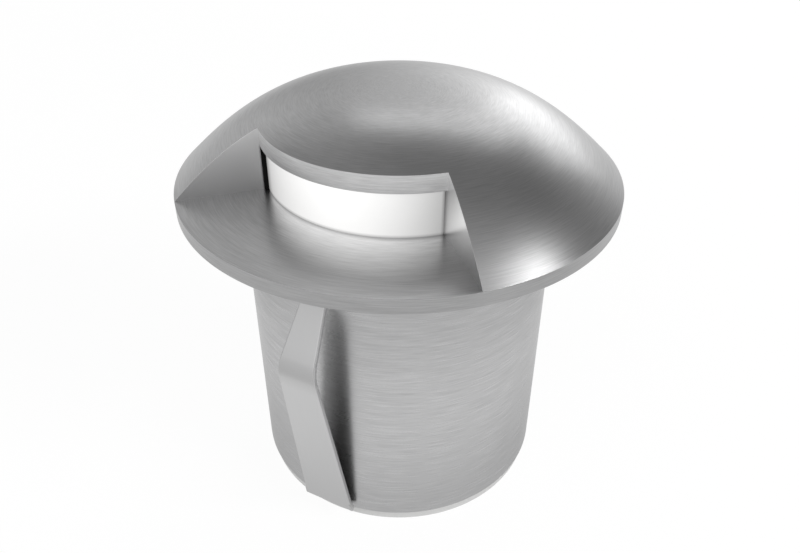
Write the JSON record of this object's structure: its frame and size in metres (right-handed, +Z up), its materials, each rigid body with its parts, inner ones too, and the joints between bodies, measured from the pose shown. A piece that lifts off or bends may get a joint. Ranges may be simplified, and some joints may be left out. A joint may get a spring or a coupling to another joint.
{
  "type": "in ground well light",
  "caption": "Small domed in-ground marker light: flanged steel cap with a side window over a frosted lens, steel tube body and folded leaf springs.",
  "frame": {"origin": "centre of the rear face, on the tube axis", "axes": "+Z up along the tube axis to the dome; -Y towards the window"},
  "size_m": [0.06, 0.06, 0.0588],
  "materials": {
    "cap_steel": "fine brushing round the axis",
    "tube_steel": "fine brushing round the axis",
    "spring_steel": "smooth satin",
    "screw_steel": "turned",
    "cover_plastic": "moulded, fine matt",
    "lens_plastic": "frosted, lit from behind",
    "reflector_white": "white gloss",
    "black_rubber": "matt",
    "board_white": "white solder mask",
    "led_yellow": "phosphor",
    "pad_silicone": "soft matt",
    "spreader_aluminium": "turned",
    "carrier_plastic": "moulded",
    "board_green": "solder mask",
    "can_sleeve": "shrink sleeve",
    "ferrite": "sintered matt",
    "chip_black": "moulded",
    "terminal_green": "moulded",
    "connector_white": "moulded",
    "lead_insulation": "extruded",
    "nylon_black": "moulded",
    "nylon_natural": "moulded"
  },
  "bodies": {
    "root": {"dome_cap": "cap_steel", "lens": "lens_plastic", "lens_gasket": "black_rubber", "reflector": "reflector_white", "cap_oring": "black_rubber", "led_board": "board_white", "leds": "led_yellow", "board_screws": "screw_steel", "thermal_pad": "pad_silicone", "heat_spreader": "spreader_aluminium", "body_tube": "tube_steel", "driver_carrier": "carrier_plastic", "driver_board": "board_green", "driver_capacitor": "can_sleeve", "driver_inductor": "ferrite", "driver_chip": "chip_black", "input_terminal": "terminal_green", "output_terminal": "connector_white", "led_leads": "lead_insulation", "rear_cover": "cover_plastic", "rear_oring": "black_rubber", "tie_screws": "screw_steel", "gland_seal": "black_rubber", "gland_washer": "nylon_natural", "gland_nut": "nylon_black"},
    "spring_front": {"spring_front_blade": "spring_steel"},
    "spring_front_upper": {"spring_front_tip": "spring_steel"},
    "spring_rear": {"spring_rear_blade": "spring_steel"},
    "spring_rear_upper": {"spring_rear_tip": "spring_steel"}
  },
  "joints": [
    {"name": "spring_front_flex", "type": "hinge", "parent": "root", "child": "spring_front", "pos_m": [0, -0.02075, 0.00215], "axis": [-1, 0, 0], "range_deg": [0, 7], "stiffness_Nm_per_rad": 1.5},
    {"name": "spring_front_knee", "type": "hinge", "parent": "spring_front", "child": "spring_front_upper", "pos_m": [0, -0.02699, 0.03163], "axis": [1, 0, 0], "range_deg": [0, 33]},
    {"name": "spring_rear_flex", "type": "hinge", "parent": "root", "child": "spring_rear", "pos_m": [0, 0.02075, 0.00215], "axis": [1, 0, 0], "range_deg": [0, 7], "stiffness_Nm_per_rad": 1.5},
    {"name": "spring_rear_knee", "type": "hinge", "parent": "spring_rear", "child": "spring_rear_upper", "pos_m": [0, 0.02699, 0.03163], "axis": [-1, 0, 0], "range_deg": [0, 33]}
  ],
  "couplings": [
    {"joint": "spring_front_knee", "follows": "spring_front_flex", "ratio": 4.7},
    {"joint": "spring_rear_knee", "follows": "spring_rear_flex", "ratio": 4.7}
  ]
}
